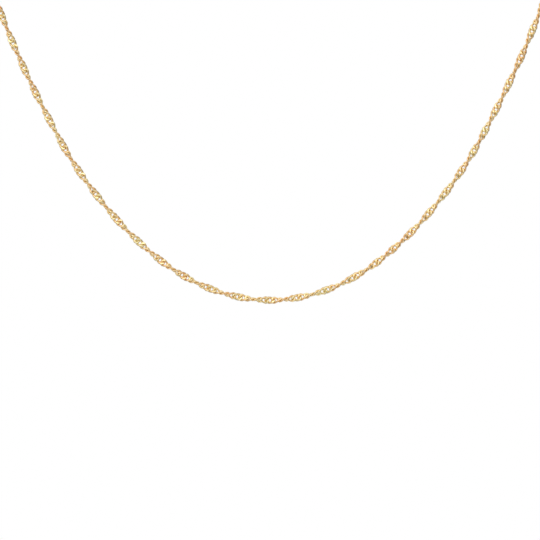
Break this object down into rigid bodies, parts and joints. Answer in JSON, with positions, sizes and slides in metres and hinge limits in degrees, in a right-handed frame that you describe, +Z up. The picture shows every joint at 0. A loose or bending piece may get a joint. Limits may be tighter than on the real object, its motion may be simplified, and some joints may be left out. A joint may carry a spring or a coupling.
{
  "type": "singapore chain necklace",
  "caption": "Fine gold necklace of short curb links twisted all the way along, hanging as a whole loop, with a round spring clasp at the nape.",
  "frame": {"origin": "the middle of the neck hollow, at the height where the sides of the loop lie on the neck", "axes": "+Z up along the neck, -Y to the front where the chain hangs, +X to the right as seen from the front"},
  "size_m": [0.1368, 0.0794, 0.1097],
  "materials": {
    "chain_gold": "pale yellow gold, cut to bright flat facets and polished",
    "clasp_gold": "pale yellow gold, rounded and polished, lightly worn"
  },
  "bodies": {
    "root": {"chain": "chain_gold", "last_link_left": "chain_gold", "last_link_right": "chain_gold", "catch_ring": "clasp_gold", "end_ring": "clasp_gold", "clasp": "clasp_gold"}
  },
  "joints": []
}
